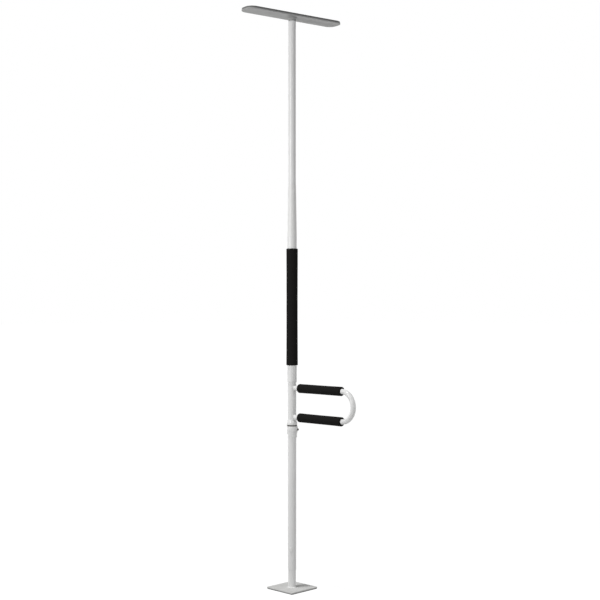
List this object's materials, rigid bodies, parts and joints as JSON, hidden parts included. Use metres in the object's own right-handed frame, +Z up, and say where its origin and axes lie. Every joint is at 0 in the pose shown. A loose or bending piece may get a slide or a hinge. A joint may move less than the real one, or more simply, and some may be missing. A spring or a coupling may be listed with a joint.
{
  "type": "transfer pole",
  "caption": "Floor-to-ceiling grab pole: screw-jack foot on a square plate, foam pole grip, D-shaped side handle that turns and clicks, telescoping top tube and padded ceiling bar.",
  "frame": {"origin": "centre of the floor pad's underside, on the pole's axis", "axes": "+Z up along the pole, +X along the side handle at rest, +Y to its left"},
  "size_m": [0.4396, 0.4858, 2.44],
  "materials": {
    "white_coat": "white powder coat, satin with a fine orange peel",
    "grey_coat": "grey powder coat, satin",
    "bright_steel": "bright zinc-plated steel",
    "black_steel": "blackened steel, satin",
    "bronze": "plain bearing bronze",
    "white_nylon": "white moulded nylon, matt",
    "black_foam": "black closed-cell grip foam, matt with a fine skin",
    "grey_rubber": "dark grey non-marking rubber, matt"
  },
  "bodies": {
    "foot": {"floor_pad": "grey_rubber", "floor_plate": "white_coat", "foot_post": "white_coat", "jack_screw": "bright_steel"},
    "column": {"core_tube": "white_coat", "core_foot": "bronze", "index_ring": "black_steel", "index_pin": "bright_steel", "core_adapter": "white_coat", "core_pin": "bright_steel", "grip_tube": "white_coat", "pole_grip": "black_foam", "grip_tube_bush": "white_nylon", "height_lock_boss": "white_coat"},
    "turning_tube": {"lower_tube": "white_coat", "jack_nut": "white_coat", "bar_slot_plugs": "white_nylon", "thrust_seat": "bright_steel", "seat_pin": "bright_steel", "lower_mouth_bush": "white_nylon", "lock_collar": "white_coat", "thrust_washer": "white_nylon"},
    "jack_lock": {"lock_bolt": "black_steel"},
    "handle": {"hub_lower_bush": "white_nylon", "hub_upper_bush": "white_nylon", "detent_spring": "bright_steel", "handle_hub": "white_coat", "handle_bar": "white_coat", "upper_hand_grip": "black_foam", "lower_hand_grip": "black_foam"},
    "height_lock": {"height_lock_bolt": "black_steel"},
    "top_section": {"top_tube": "white_coat", "top_glide": "white_nylon", "swivel_plug": "bright_steel", "swivel_washer": "white_nylon"},
    "ceiling_head": {"ceiling_boss": "grey_coat", "ceiling_plate": "grey_coat", "ceiling_pad": "grey_rubber"}
  },
  "joints": [
    {"name": "pole_lift", "type": "slide", "parent": "foot", "child": "column", "axis": [0, 0, 1], "range_m": [0, 0.03]},
    {"name": "jack_turn", "type": "hinge", "parent": "column", "child": "turning_tube", "pos_m": [0, 0, 0.3], "axis": [0, 0, 1], "range_deg": [0, 1800]},
    {"name": "jack_lock_travel", "type": "slide", "parent": "turning_tube", "child": "jack_lock", "axis": [0.9063, 0.4226, 0], "range_m": [0, 0.003]},
    {"name": "handle_turn", "type": "hinge", "parent": "column", "child": "handle", "pos_m": [0, 0, 0.7913], "axis": [0, 0, 1], "continuous": true, "deforming": ["detent_spring"]},
    {"name": "height_lock_travel", "type": "slide", "parent": "column", "child": "height_lock", "axis": [-0.7071, 0.7071, 0], "range_m": [0, 0.003]},
    {"name": "height_slide", "type": "slide", "parent": "column", "child": "top_section", "axis": [0, 0, 1], "range_m": [-0.18, 0.2]},
    {"name": "ceiling_swivel", "type": "hinge", "parent": "top_section", "child": "ceiling_head", "pos_m": [0, 0, 2.42], "axis": [0, 0, 1], "continuous": true}
  ],
  "couplings": [
    {"joint": "jack_turn", "follows": "pole_lift", "rad_per_m": 1047.2}
  ]
}
